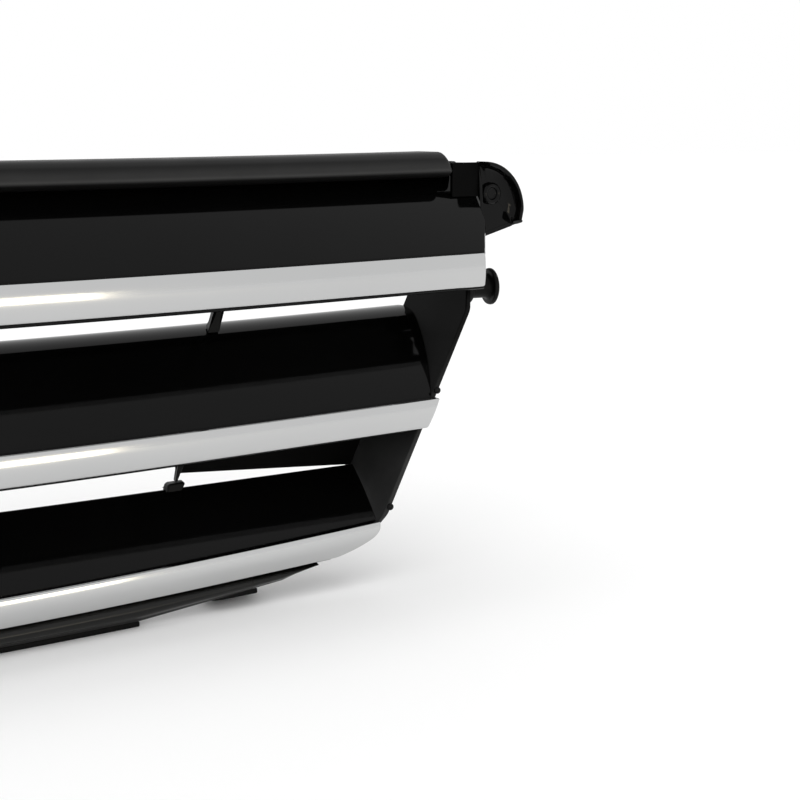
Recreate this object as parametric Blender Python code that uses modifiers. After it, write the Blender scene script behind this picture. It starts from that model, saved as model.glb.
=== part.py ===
"""Front grille of a saloon car: three louvres with bright trim strips under a satin top rail.

Metres, +Z up. The front faces -Y and +X is to the right as seen from the front. The origin is on the
underside of the mounting shelf, on the centre line. Sections are drawn in two coordinates: depth,
which runs back from the front line of the louvres, and height. The front line is bowed in plan.
"""

import math

import bmesh
import bpy
from mathutils import Vector

MM = 0.001

# ---------------------------------------------------------------- driving dimensions
HALF_WIDTH = 341.5 * MM  # the upper trim and the top louvre end square here
LOWER_LOW = 12.6 * MM  # the lower trim's lower edge, above the underside of the shelf
LOWER_PITCH = 61.9 * MM  # from there up to the middle trim's lower edge
UPPER_PITCH = 69.5 * MM  # and from there up to the upper trim's
FRONT_Y = -27 * MM  # the front line at the centre, from the origin
BOW_SLOPE = 0.20  # how fast the front line runs back at its ends
BOW_NOSE = 100 * MM  # how long the rounded centre of the bow is
RISE_SPAN = 340 * MM  # the distance from the centre at which each rise is stated

GAP = 0.4 * MM  # between pieces that sit on each other
PANEL = 2.5 * MM  # wall of the louvres
STATIONS = 18  # steps along a full-width bar

TRIM_GAP = 0.5 * MM  # between a trim strip and the flange behind it
TRIM_WALL = 2.2 * MM
TRIM_BULGE = 3.4 * MM
TRIM_OVERHANG = 1.7 * MM  # the middle trim runs past the side line by this much
LOWER_CORNER = 26.0 * MM  # how far in the lower trim's round lower corners reach
LOWER_INSET = 4.5 * MM  # the lower trim ends this far inside the side line


def strip(low, height, rise):
    """A trim strip's edges at the centre, and how far it climbs by RISE_SPAN."""
    return {"low": low, "high": low + height, "rise": rise}


LOWER_TRIM = strip(LOWER_LOW, 13.5 * MM, 8.0 * MM)
MIDDLE_TRIM = strip(LOWER_TRIM["low"] + LOWER_PITCH, 14.5 * MM, 1.9 * MM)
UPPER_TRIM = strip(MIDDLE_TRIM["low"] + UPPER_PITCH, 17.1 * MM, 1.9 * MM)

FLANGE_DEPTH = 4.2 * MM  # front of the flange behind each trim
FLANGE_DROP = 0.8 * MM  # the flange starts this far below its trim
FLANGE_OVER = 0.4 * MM  # and its face starts this far above it
TOP_FACE = {"from": 51, "to": 43, "radius": 355 * MM}  # slopes in degrees
MIDDLE_FACE = {"from": 56, "to": 36, "radius": 142 * MM}
MIDDLE_ROLL = {"from": 36, "to": -14, "radius": 25.5 * MM}
BOTTOM_FACE = {"from": 47, "to": 38, "radius": 275 * MM}
WING_SLOPE = 0.56  # the top louvre's ends run outwards by this much for each step back
WING = 9.5 * MM  # until they are this far outside the trim
BACK_RISES = {"top": 3.0 * MM, "middle": 2.9 * MM, "bottom": -3.4 * MM}  # of the louvres' back edges

SIDE_X = HALF_WIDTH - 7.8 * MM  # the side line at the top of the cheek, at the front
SIDE_Z = UPPER_TRIM["low"] - 10.3 * MM
SIDE_LEAN = 0.50  # the side runs inwards by this much for each step down
SIDE_FLARE = 0.32  # and by this much for each step back

SEAT_STEP = 1.68 * MM  # the rail's seat lies this far above the end of the top face
RAIL_END = HALF_WIDTH - 6.9 * MM
RAIL_DROP = 1.8 * MM  # the rail hangs this far below its seat
RAIL_HEIGHT = 13.0 * MM
RAIL_RISE = 3.0 * MM
RAIL_REACH = 14.0 * MM  # its nose stands this far in front of the end of the top face
RAIL_BACK = 62.0 * MM
LUG_REACH = 5.5 * MM

SHELF_HALF = 151.0 * MM
SHELF_BACK = 66.0 * MM
SHELF_WALL = 2.5 * MM
LIP_END = HALF_WIDTH - 98.5 * MM
LIP_BEND = LIP_END - 19 * MM
LIP_CLIMBS = (6.2 * MM, 5.0 * MM)  # from the shelf to the bend, and from the bend to the end
LIP_TAB_WIDTH = 26.0 * MM
LIP_TAB_IN = 12.0 * MM  # inside the bend

CHEEK_WALL = 3.0 * MM
CHEEK_BACK = 52.0 * MM
CHEEK_TOP = UPPER_TRIM["low"] + 16.0 * MM
CHEEK_PIN_Z = {"middle": MIDDLE_TRIM["high"] + 5.0 * MM, "lower": LOWER_TRIM["high"] + 10.9 * MM}

RIB_X = 203.5 * MM  # the outer posts, at the height of the side point
RIB_LEAN = 0.33
INNER_SHARE = 1 / 3  # the inner posts stand at this share of the outer ones' distance
RIB_HALF = 1.6 * MM
RIB_CLEAR = 0.9 * MM
LEG_X = SHELF_HALF - 33.0 * MM  # the lower posts
BAFFLE_BEHIND = 4.0 * MM  # behind the outer post
BAFFLE_WALL = 2.5 * MM

EAR_FRONT = 19.0 * MM
EAR_BACK = 30.0 * MM
EAR_WALL = 3.0 * MM
EAR_INNER = HALF_WIDTH + WING + 2 * GAP  # beside the end of the top louvre
EAR_OUTER = HALF_WIDTH + 36.5 * MM
EAR_RADIUS = EAR_OUTER - EAR_INNER - 0.4 * MM
EAR_OVER = 5.97 * MM  # the ear's top lies this far above the end of the rail's seat
EAR_CORNER_DROP = 31.4 * MM  # below the ear's top
EAR_HEEL_X = HALF_WIDTH + 15.0 * MM
EAR_HEEL_DROP = 39.4 * MM
EAR_STEM_Z = UPPER_TRIM["low"] + 10.0 * MM
EAR_SHOULDER_DROP = 29.0 * MM  # where the ear steps in under the end of the louvre
EAR_HOLE_X = HALF_WIDTH + 18.0 * MM
EAR_HOLE_DROP = 16.9 * MM
EAR_HOLE_R = 3.6 * MM
BUSH_WALL = 2.2 * MM
BUSH_HEIGHT = 2.4 * MM

STUD_DEPTH = 20.0 * MM
STUD_Z = UPPER_TRIM["low"] - 0.7 * MM
STUD_SHAFT_R = 5.9 * MM
STUD_HEAD_R = STUD_SHAFT_R + 3.8 * MM
STUD_HEAD_T = 3.2 * MM
STUD_BLOCK_R = STUD_SHAFT_R + 2.5 * MM
STUD_BASE_X = HALF_WIDTH + 0.5 * MM
STUD_LENGTH = 13.6 * MM

PIN_SHANK_R = 1.5 * MM
PIN_CLEAR = 0.4 * MM  # between a shank and its hole
PIN_HEAD_R = PIN_SHANK_R + 1.9 * MM
PIN_HEAD_T = 1.6 * MM
PIN_REACH = 3.0 * MM  # the tip stands this far in front of the flange
PIN_XS = (-228 * MM, -76 * MM, 76 * MM, 228 * MM)

TAB_XS = (-60 * MM, 60 * MM)
TAB_HALF = 13.0 * MM
TAB_REACH = 26.0 * MM
TAB_WALL = 3.0 * MM
TAB_HOLE_R = 4.2 * MM
TAB_OVER = 4.0 * MM  # above the rail's seat

SIDES = {"left": -1, "right": 1}


# ---------------------------------------------------------------- the shared surfaces
def bow(x):
    """How far back the front line lies at x: a hyperbola, round at the centre, straight at the ends."""
    return BOW_SLOPE * (math.hypot(x, BOW_NOSE) - BOW_NOSE)


def lift(x, rise):
    return rise * (x / RISE_SPAN) ** 2


def at(x, depth, z):
    return Vector((x, FRONT_Y + bow(x) + depth, z))


def side_line(depth, z):
    """Half the width between the cheeks at this depth and height."""
    return SIDE_X + SIDE_LEAN * (z - SIDE_Z) - SIDE_FLARE * depth


def rib_line(z, share):
    return share * (RIB_X + RIB_LEAN * (z - SIDE_Z))


# ---------------------------------------------------------------- building tools
def clear_scene():
    for old in list(bpy.data.objects):
        bpy.data.objects.remove(old, do_unlink=True)


def collection(name):
    made = bpy.data.collections.new(name)
    bpy.context.scene.collection.children.link(made)
    return made


def material(name, colour, roughness, metallic=0.0):
    made = bpy.data.materials.new(name)
    made.use_nodes = True
    shader = made.node_tree.nodes["Principled BSDF"]
    shader.inputs["Base Color"].default_value = (*colour, 1.0)
    shader.inputs["Roughness"].default_value = roughness
    shader.inputs["Metallic"].default_value = metallic
    return made


def add_mesh(name, bm, finish, where):
    bmesh.ops.recalc_face_normals(bm, faces=bm.faces)
    mesh = bpy.data.meshes.new(name)
    bm.to_mesh(mesh)
    bm.free()
    mesh.materials.append(finish)
    mesh.shade_smooth()
    mesh.set_sharp_from_angle(angle=math.radians(35))
    made = bpy.data.objects.new(name, mesh)
    where.objects.link(made)
    return made


def split_end(cap):
    """Cuts the end of a shell across its wall into four-sided faces, so that it need not be flat."""
    ring = list(cap.verts)
    for i in range(1, len(ring) // 2 - 1):
        cut_off, _ = bmesh.utils.face_split(cap, ring[i], ring[-1 - i])
        cap = cut_off if ring[i + 1] in cut_off.verts else cap


def sweep(name, outlines, finish, where, shell=False):
    """A closed bar through a row of outlines: the first is filled, then extruded to each next one."""
    bm = bmesh.new()
    face = bm.faces.new([bm.verts.new(point) for point in outlines[0]])
    for outline in outlines[1:]:
        made = bmesh.ops.extrude_discrete_faces(bm, faces=[face])["faces"][0]
        for corner, point in zip(made.verts, outline):
            corner.co = point
        face = made
    start = bm.faces.new([bm.verts.new(point) for point in reversed(outlines[0])])
    for cap in (start, face) if shell else ():
        split_end(cap)
    bmesh.ops.remove_doubles(bm, verts=bm.verts, dist=0.00001)
    return add_mesh(name, bm, finish, where)


def full_width(name, section, half_width, rise, finish, where, wing=lambda depth: 0, shell=False):
    """A bar across the grille: its section in (depth, z), where each point ends and how far it climbs.

    The last outline at each end is moved outwards by the wing."""
    outlines = []
    for step in range(STATIONS + 1):
        share = 2 * step / STATIONS - 1
        row = []
        for depth, z in section:
            climb = rise(depth)
            x = share * half_width(depth, z + lift(half_width(depth, z), climb))
            x += share * wing(depth) if step in (0, STATIONS) else 0
            row.append(at(x, depth, z + lift(x, climb)))
        outlines.append(row)
    return sweep(name, outlines, finish, where, shell)


def slab(name, section, near, far, finish, where):
    """A short block: the section in (depth, z), from x = near(depth, z) to x = far(depth, z)."""
    outlines = [[at(edge(d, z), d, z) for d, z in section] for edge in (near, far)]
    return sweep(name, outlines, finish, where)


def turned(name, profile, steps, finish, where, length_axis, base):
    """A round piece: the profile's (radius, along) points spun about an axis, set along length_axis."""
    bm = bmesh.new()
    points = [bm.verts.new((r, 0, along)) for r, along in profile]
    for a, b in zip(points, points[1:]):
        bm.edges.new((a, b))
    mesh = bpy.data.meshes.new(name)
    bm.to_mesh(mesh)
    bm.free()
    mesh.materials.append(finish)
    made = bpy.data.objects.new(name, mesh)
    where.objects.link(made)
    spin = made.modifiers.new("Turn", "SCREW")
    spin.axis = "Z"
    spin.steps = spin.render_steps = steps
    spin.use_merge_vertices = True
    spin.merge_threshold = 0.00001
    spin.use_smooth_shade = True
    made.rotation_euler = Vector((0, 0, 1)).rotation_difference(length_axis).to_euler()
    made.location = base
    return made


def cut(target, cutter):
    cutter.hide_render = True
    cutter.display_type = "WIRE"
    hole = target.modifiers.new("Cut " + cutter.name, "BOOLEAN")
    hole.operation = "DIFFERENCE"
    hole.object = cutter


def drill(name, radius, length, centre, axis, cutters):
    bpy.ops.mesh.primitive_cylinder_add(vertices=16, radius=radius, depth=length, location=centre)
    made = bpy.context.active_object
    made.name = name
    made.rotation_euler = Vector((0, 0, 1)).rotation_difference(axis).to_euler()
    for old in list(made.users_collection):
        old.objects.unlink(made)
    cutters.objects.link(made)
    return made


def arc(start, bend, steps):
    """Points on a curve whose slope turns from one angle to the other, without its start."""
    first, last = math.radians(bend["from"]), math.radians(bend["to"])
    points = []
    depth, z = start
    for step in range(1, steps + 1):
        angle = first + (last - first) * step / steps
        ahead = bend["radius"] * (math.sin(first) - math.sin(angle))
        up = bend["radius"] * (math.cos(angle) - math.cos(first))
        points.append((depth + ahead, z + up))
    return points


def shell_section(path, wall):
    """The path, and the same path set off by the wall on its right-hand side, as one closed outline."""
    inner = []
    for i, point in enumerate(path):
        before, after = path[max(i - 1, 0)], path[min(i + 1, len(path) - 1)]
        first = Vector((point[0] - before[0], point[1] - before[1]))
        second = Vector((after[0] - point[0], after[1] - point[1]))
        runs = [run.normalized() for run in (first, second) if run.length > 0]
        sides = [Vector((run.y, -run.x)) for run in runs]
        middle = sum(sides, Vector((0, 0))).normalized()
        offset = middle * wall / middle.dot(sides[0])
        inner.append((point[0] + offset.x, point[1] + offset.y))
    return list(path) + inner[::-1]


# ---------------------------------------------------------------- louvres and trims
def flange(trim):
    """The upright flange behind a trim."""
    return [(FLANGE_DEPTH, trim["low"] - FLANGE_DROP), (FLANGE_DEPTH, trim["high"] + FLANGE_OVER)]


def top_path():
    """The top louvre: flange, a face that climbs back at about 47 degrees, and the seat for the rail."""
    front = flange(UPPER_TRIM)
    face = arc(front[-1], TOP_FACE, 4)
    depth, seat = face[-1][0], face[-1][1] + SEAT_STEP
    ledge = [(depth + 4.5 * MM, seat - 1.0 * MM), (depth + 8.5 * MM, seat), (RAIL_BACK - 1.5 * MM, seat)]
    return front + face + ledge


def middle_path():
    """The middle louvre: a steep crowned face that rolls over into a round back edge."""
    front = flange(MIDDLE_TRIM)
    face = arc(front[-1], MIDDLE_FACE, 6)
    return front + face + arc(face[-1], MIDDLE_ROLL, 5)


def bottom_path():
    """The bottom louvre: a shorter, nearly flat face with a plain back edge."""
    front = flange(LOWER_TRIM)
    return front + arc(front[-1], BOTTOM_FACE, 4)


def seat_height():
    """The height of the top louvre's last stretch, which carries the rail."""
    return top_path()[-1][1]


TRIMS = {"top": UPPER_TRIM, "middle": MIDDLE_TRIM, "bottom": LOWER_TRIM}
PATHS = {"top": top_path, "middle": middle_path, "bottom": bottom_path}


def climb(row, depth):
    """The rise of a louvre at this depth, from that of its trim to that of its back edge."""
    share = (depth - FLANGE_DEPTH) / (PATHS[row]()[-1][0] - FLANGE_DEPTH)
    front = TRIMS[row]["rise"]
    return front + (BACK_RISES[row] - front) * min(max(share, 0), 1)


def height_on(path, depth):
    """The height of a face at this depth."""
    for (d0, z0), (d1, z1) in zip(path[1:], path[2:]):
        if d0 <= depth <= d1:
            return z0 + (z1 - z0) * (depth - d0) / (d1 - d0)
    raise ValueError("the face has no point at that depth")


def height_under(path, depth):
    """The height of the underside of a face at this depth, read from its offset path."""
    inner = shell_section(path, PANEL)[len(path):][::-1]
    return height_on(inner, depth)


def trim_section(trim):
    """A bowed strip, round side forward."""
    low, high = trim["low"], trim["high"]
    middle, half = (low + high) / 2, (high - low) / 2
    back = FLANGE_DEPTH - TRIM_GAP - TRIM_WALL
    outer = []
    for step in range(9):
        share = 1 - step / 4
        outer.append((back - TRIM_BULGE * (1 - abs(share) ** 2.4), middle + share * half))
    inner = [(depth + TRIM_WALL, middle + (z - middle) * 0.93) for depth, z in outer[::2]]
    return outer + inner[::-1]


def upper_width(depth, z):
    return HALF_WIDTH


def top_wing(depth):
    return min(WING_SLOPE * depth, WING)


def middle_width(depth, z):
    return side_line(depth, z) - GAP


def middle_trim_width(depth, z):
    return side_line(0, z) + TRIM_OVERHANG


def lower_trim_width(depth, z):
    """The side line down to the top of the lower trim, then its round corner."""
    top = LOWER_TRIM["high"] + lift(side_line(0, LOWER_TRIM["high"]), LOWER_TRIM["rise"])
    down = min(max(top - z, 0) / (LOWER_TRIM["high"] - LOWER_TRIM["low"] + 1 * MM), 1)
    return side_line(0, top) - LOWER_INSET - LOWER_CORNER * down**3


def bottom_width(depth, z):
    return min(side_line(depth, z) - GAP, lower_trim_width(depth, z) - GAP)


def build_louvres(finish, where):
    widths = {"top": upper_width, "middle": middle_width, "bottom": bottom_width}
    made = {}
    for row, width in widths.items():
        section = shell_section(PATHS[row](), PANEL)
        rise = lambda depth, r=row: climb(r, depth)
        wing = top_wing if row == "top" else lambda depth: 0
        made[row] = full_width(f"{row}_louvre", section, width, rise, finish, where, wing, shell=True)
    return made


def build_trims(finish, where):
    strips = {
        "upper_trim": (UPPER_TRIM, upper_width),
        "middle_trim": (MIDDLE_TRIM, middle_trim_width),
        "lower_trim": (LOWER_TRIM, lower_trim_width),
    }
    for name, (trim, width) in strips.items():
        full_width(name, trim_section(trim), width, lambda d, t=trim: t["rise"], finish, where)


def build_trim_pins(louvres, finish, where, cutters):
    """Push pins through the flange of each louvre into the back of its trim."""
    length = PIN_REACH + PANEL + GAP + PIN_HEAD_T
    profile = [
        (0, length),
        (PIN_HEAD_R * 0.7, length),
        (PIN_HEAD_R, length - PIN_HEAD_T * 0.5),
        (PIN_HEAD_R, length - PIN_HEAD_T),
        (PIN_SHANK_R, length - PIN_HEAD_T),
        (PIN_SHANK_R, 0.8 * MM),
        (PIN_SHANK_R * 0.5, 0),
        (0, 0),
    ]
    for row, trim in TRIMS.items():
        for number, x in enumerate(PIN_XS, 1):
            z = (trim["low"] + trim["high"]) / 2 + lift(x, trim["rise"])
            back = Vector((-BOW_SLOPE * x / math.hypot(x, BOW_NOSE), 1, 0)).normalized()
            tip = at(x, FLANGE_DEPTH - PIN_REACH, z)
            turned(f"trim_pin_{row}_{number}", profile, 10, finish, where, back, tip)
            middle = tip + back * (PIN_REACH + PANEL / 2)
            hole_r = PIN_SHANK_R + PIN_CLEAR
            cut(louvres[row], drill(f"pin_hole_{row}_{number}", hole_r, 4 * PANEL, middle, back, cutters))


# ---------------------------------------------------------------- rail, lip and shelf
def build_rail(finish, where):
    seat, face_end = seat_height(), top_path()[-4][0]
    low, high, nose = seat - RAIL_DROP, seat - RAIL_DROP + RAIL_HEIGHT, face_end - RAIL_REACH
    section = [
        (nose + 3.2 * MM, low),
        (nose + 1.0 * MM, low + 1.4 * MM),
        (nose, low + 3.8 * MM),
        (nose + 0.9 * MM, low + 6.6 * MM),
        (nose + 3.6 * MM, low + 9.6 * MM),
        (nose + 7.0 * MM, high - 1.2 * MM),
        (nose + 11.0 * MM, high),
        (RAIL_BACK - 2.0 * MM, high),
        (RAIL_BACK, high - 2.0 * MM),
        (RAIL_BACK, seat + 2 * GAP),
        (face_end + 3.5 * MM, seat + 2 * GAP),
        (nose + 12.5 * MM, low + 0.2 * MM),
    ]

    def end(depth, z):
        return RAIL_END - 0.2 * abs(z - high + 8 * MM)

    full_width("top_rail", section, end, lambda d: RAIL_RISE, finish, where)
    front, back = nose + 6 * MM, nose + 16 * MM
    climbed = lift(RAIL_END, RAIL_RISE)
    foot, top = low + climbed + 0.5 * MM, high + climbed - 4.9 * MM
    lug = [(front, foot), (front, top), (back, top), (back, foot)]
    start, tip = RAIL_END + GAP, RAIL_END + GAP + LUG_REACH
    for side, sign in SIDES.items():
        slab(f"rail_lug_{side}", lug, lambda d, z: sign * start, lambda d, z: sign * tip, finish, where)


def build_rail_tabs(finish, where):
    """Ears on the back of the rail that are screwed to the panel behind the bonnet's edge."""
    for number, x in enumerate(TAB_XS, 1):
        curve = bpy.data.curves.new(f"tab_outline_{number}", "CURVE")
        curve.dimensions = "2D"
        curve.fill_mode = "BOTH"
        curve.extrude = TAB_WALL / 2
        straight = TAB_REACH - TAB_HALF
        outline = [(-TAB_HALF, 0), (TAB_HALF, 0)]
        outline += [
            (TAB_HALF * math.cos(a), straight + TAB_HALF * math.sin(a))
            for a in (math.pi * step / 10 for step in range(11))
        ]
        hole = [
            (TAB_HOLE_R * math.cos(a), straight + TAB_HOLE_R * math.sin(a))
            for a in (math.tau * step / 14 for step in range(14))
        ]
        for ring in (outline, hole):
            spline = curve.splines.new("POLY")
            spline.points.add(len(ring) - 1)
            for point, (u, v) in zip(spline.points, ring):
                point.co = (u, v, 0, 1)
            spline.use_cyclic_u = True
        curve.materials.append(finish)
        made = bpy.data.objects.new(f"rail_tab_{number}", curve)
        where.objects.link(made)
        made.location = at(x, RAIL_BACK + 2 * GAP, seat_height() + TAB_OVER + lift(x, RAIL_RISE))
        made.rotation_euler = (0, 0, math.atan(BOW_SLOPE * x / math.hypot(x, BOW_NOSE)))


def lip_low(x):
    """Height of the lip's lower edge: level over the shelf, then climbing to the end of the lower trim."""
    x = abs(x)
    level = SHELF_WALL + GAP
    if x <= SHELF_HALF:
        return level
    if x <= LIP_BEND:
        return level + LIP_CLIMBS[0] * (x - SHELF_HALF) / (LIP_BEND - SHELF_HALF)
    return level + LIP_CLIMBS[0] + LIP_CLIMBS[1] * (x - LIP_BEND) / (LIP_END - LIP_BEND)


def build_lip(finish, where):
    def outline(x):
        low = lip_low(x)
        high = LOWER_TRIM["low"] - FLANGE_DROP - GAP + lift(x, climb("bottom", FLANGE_DEPTH + PANEL))
        shape = [(7.4, 1.0), (3.4, 1.0), (1.7, 0.84), (0.6, 0.58)]
        shape += [(1.6, 0.34), (3.6, 0.16), (4.6, 0.0), (7.4, 0.0)]
        return [at(x, depth * MM, low + share * (high - low)) for depth, share in shape]

    half = [SHELF_HALF * step / 6 for step in range(7)]
    half += [SHELF_HALF + (LIP_BEND - SHELF_HALF) * step / 3 for step in (1, 2, 3)] + [LIP_END]
    xs = [-x for x in reversed(half[1:])] + half
    sweep("bottom_lip", [outline(x) for x in xs], finish, where)


def build_shelf(finish, where):
    front = 5.6 * MM

    def outline(x):
        corners = ((front, 0), (front, SHELF_WALL), (SHELF_BACK, SHELF_WALL), (SHELF_BACK, 0))
        return [at(x, depth, z) for depth, z in corners]

    xs = [SHELF_HALF * (step / 5 - 1) for step in range(11)]
    sweep("mounting_shelf", [outline(x) for x in xs], finish, where)
    for side, sign in SIDES.items():
        outer = LIP_BEND - LIP_TAB_IN
        inner = outer - LIP_TAB_WIDTH
        low = lip_low((inner + outer) / 2) - 3.2 * MM
        tab = [(8.4 * MM, low), (8.4 * MM, low + SHELF_WALL), (34 * MM, low + SHELF_WALL), (34 * MM, low)]
        slab(f"lip_tab_{side}", tab, lambda d, z: sign * inner, lambda d, z: sign * outer, finish, where)


# ---------------------------------------------------------------- posts between the louvres
def post(name, x_of, half_of, section, finish, where):
    """A slim upright whose sides stand at x_of(z) plus and minus half_of(z)."""
    near, far = lambda d, z: x_of(z) - half_of(z), lambda d, z: x_of(z) + half_of(z)
    return slab(name, section, near, far, finish, where)


def clear_under(row, path, x, depths):
    """Where a post may end under a louvre, at each of these depths."""
    return [height_under(path, depth) + lift(x, climb(row, depth)) - RIB_CLEAR for depth in depths]


def post_set(row, share, sign):
    side = "left" if sign < 0 else "right"
    place = "outer" if share == 1 else "inner"
    return f"{row}_post_{place}_{side}"


def build_posts(finish, socket_finish, where):
    top, middle, bottom = top_path(), middle_path(), bottom_path()
    for sign in SIDES.values():
        for share in (1, INNER_SHARE):
            x_of = lambda z, s=share: sign * rib_line(z, s)
            x_near = abs(x_of(SIDE_Z))

            # between the top and the middle louvre
            front, back = 40 * MM, 46.5 * MM
            foot = [height_on(middle, d) + lift(x_near, climb("middle", d)) for d in (front, back)]
            foot = [z + RIB_CLEAR for z in foot]
            head = clear_under("top", top, x_near, (front, back))
            knee = max(foot) + 7 * MM
            section = [(front, foot[0]), (front, knee), (front, head[0])]
            section += [(back, head[1]), (back, knee), (back, foot[1])]
            flare = lambda z, k=knee: RIB_HALF * (1 + 0.9 * max(0, (k - z) / (7 * MM)))
            post(post_set("upper", share, sign), x_of, flare, section, finish, where)

            # between the middle louvre and the socket on the bottom louvre's back edge
            edge_depth, edge_z = bottom[-1]
            edge_z += lift(x_of(edge_z), BACK_RISES["bottom"])
            front, back = edge_depth - 1.5 * MM, edge_depth + 2.5 * MM
            head = clear_under("middle", middle, x_near, (front, back))
            tip = edge_z + 4.0 * MM
            knee = tip + 8 * MM
            section = [(front, tip), (front, knee), (front, head[0])]
            section += [(back, head[1]), (back, knee), (back, tip)]
            taper = lambda z, t=tip: RIB_HALF * min(1.0, 0.35 + 0.65 * (z - t) / (8 * MM))
            post(post_set("middle", share, sign), x_of, taper, section, finish, where)

            # the socket: a saddle over the back edge
            base = edge_z + 0.9 * MM
            behind = edge_depth + PANEL * math.sin(math.radians(BOTTOM_FACE["to"]))
            saddle = [(edge_depth - 3.4 * MM, base - 1.2 * MM), (edge_depth - 2.6 * MM, tip - GAP)]
            saddle += [(behind + 1.9 * MM, tip - GAP), (behind + 3.1 * MM, base - 6 * MM)]
            saddle += [(behind + 0.9 * MM, base - 6 * MM), (behind + 0.1 * MM, base)]
            wide = lambda z, b=base: 3.9 * MM + 0.5 * (b + 3.0 * MM - z) * (z > b)
            socket = post_set("socket", share, sign).replace("_post", "")
            post(socket, x_of, wide, saddle, socket_finish, where)

            if share != 1:
                continue
            # between the bottom louvre and the shelf, only the outer pair
            leg_x = sign * LEG_X
            front, back = 19 * MM, 24 * MM
            head = clear_under("bottom", bottom, leg_x, (front, back))
            level = SHELF_WALL + GAP
            section = [(front, level), (front, head[0]), (back, head[1]), (back, level)]
            leg = post_set("lower", share, sign).replace("_outer", "")
            post(leg, lambda z: leg_x, lambda z: 2.2 * MM, section, finish, where)


def build_baffles(finish, where):
    """Panels that close the corner behind the middle louvre, between the outer post and the cheek."""
    middle = middle_path()
    front = bottom_path()[-1][0] + 2.5 * MM + BAFFLE_BEHIND
    back = front + BAFFLE_WALL
    low_in, low_out = MIDDLE_TRIM["low"] - 14.3 * MM, MIDDLE_TRIM["low"] - 22.9 * MM
    inner = rib_line(low_in, 1) + RIB_HALF

    def corner(depth, share, at_top):
        z = height_under(middle, depth) if at_top else low_in + (low_out - low_in) * share
        x = inner + (side_line(depth, z) - GAP - inner) * share
        return x, z + lift(x, climb("middle", depth)) - RIB_CLEAR if at_top else z

    for side, sign in SIDES.items():
        outlines = []
        for step in range(4):
            row = []
            for depth, at_top in ((front, False), (front, True), (back, True), (back, False)):
                x, z = corner(depth, step / 3, at_top)
                row.append(at(sign * x, depth, z))
            outlines.append(row)
        sweep(f"corner_baffle_{side}", outlines, finish, where)


# ---------------------------------------------------------------- cheeks, studs and ears
def build_cheeks(finish, where):
    toe = LOWER_TRIM["high"]
    section = [
        (FLANGE_DEPTH, toe + 6.9 * MM),
        (FLANGE_DEPTH, SIDE_Z),
        (11 * MM, SIDE_Z + 12 * MM),
        (15 * MM, CHEEK_TOP),
        (CHEEK_BACK - 8 * MM, CHEEK_TOP),
        (CHEEK_BACK, CHEEK_TOP - 10 * MM),
        (CHEEK_BACK, MIDDLE_TRIM["low"] - 14.5 * MM),
        (30 * MM, toe - 6.1 * MM),
        (9 * MM, toe - 2.1 * MM),
    ]
    for side, sign in SIDES.items():
        near = lambda d, z: sign * side_line(d, z)
        far = lambda d, z: sign * (side_line(d, z) + CHEEK_WALL)
        slab(f"cheek_{side}", section, near, far, finish, where)


def build_end_walls(finish, where):
    """A wall across each end of the top louvre, behind the ear, up to the height of the rail."""
    front, back, top = EAR_BACK + GAP, RAIL_BACK - 3 * MM, ear_top() - 1 * MM
    low_front, low_back = ear_top() - EAR_CORNER_DROP, seat_height() - 8 * MM
    section = [(front, low_front), (front, top), (back, top), (back, low_back)]
    for side, sign in SIDES.items():
        near, far = lambda d, z: sign * EAR_INNER, lambda d, z: sign * (EAR_INNER + CHEEK_WALL)
        slab(f"end_wall_{side}", section, near, far, finish, where)


def build_cheek_pins(finish, where):
    """Small round heads in each cheek's front edge, above the ends of the middle and the lower trim."""
    radius, height = CHEEK_WALL * 0.6, 1.4 * MM
    profile = [(0, height), (radius * 0.6, height * 0.9), (radius, height * 0.4), (radius, 0), (0, 0)]
    for row, z in CHEEK_PIN_Z.items():
        for side, sign in SIDES.items():
            x = sign * (side_line(FLANGE_DEPTH, z) + CHEEK_WALL / 2)
            base = at(x, FLANGE_DEPTH - 2 * GAP, z)
            turned(f"cheek_pin_{row}_{side}", profile, 12, finish, where, Vector((0, -1, 0)), base)


def build_studs(block_finish, stud_finish, where):
    """A block on each cheek with a locating stud, a short shaft with a disc for a head."""
    section = []
    for step in range(10):
        angle = math.tau * (step + 0.5) / 10
        ahead, up = STUD_BLOCK_R * math.cos(angle), STUD_BLOCK_R * math.sin(angle)
        section.append((STUD_DEPTH + ahead, STUD_Z + up))
    shaft_end = STUD_LENGTH - STUD_HEAD_T
    profile = [
        (0, STUD_LENGTH),
        (STUD_HEAD_R - 1.4 * MM, STUD_LENGTH),
        (STUD_HEAD_R, STUD_LENGTH - 1.0 * MM),
        (STUD_HEAD_R, shaft_end + 0.6 * MM),
        (STUD_HEAD_R - 0.6 * MM, shaft_end),
        (STUD_SHAFT_R + 0.8 * MM, shaft_end),
        (STUD_SHAFT_R, shaft_end - 0.8 * MM),
        (STUD_SHAFT_R, 0),
        (0, 0),
    ]
    for side, sign in SIDES.items():
        near = lambda d, z: sign * (side_line(d, z) + CHEEK_WALL + GAP)
        far = lambda d, z: sign * STUD_BASE_X
        slab(f"stud_block_{side}", section, near, far, block_finish, where)
        base = at(sign * (STUD_BASE_X + 2 * GAP), STUD_DEPTH, STUD_Z)
        turned(f"locating_stud_{side}", profile, 20, stud_finish, where, Vector((sign, 0, 0)), base)


def ear_top():
    return seat_height() + lift(HALF_WIDTH, RAIL_RISE) + EAR_OVER


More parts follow.
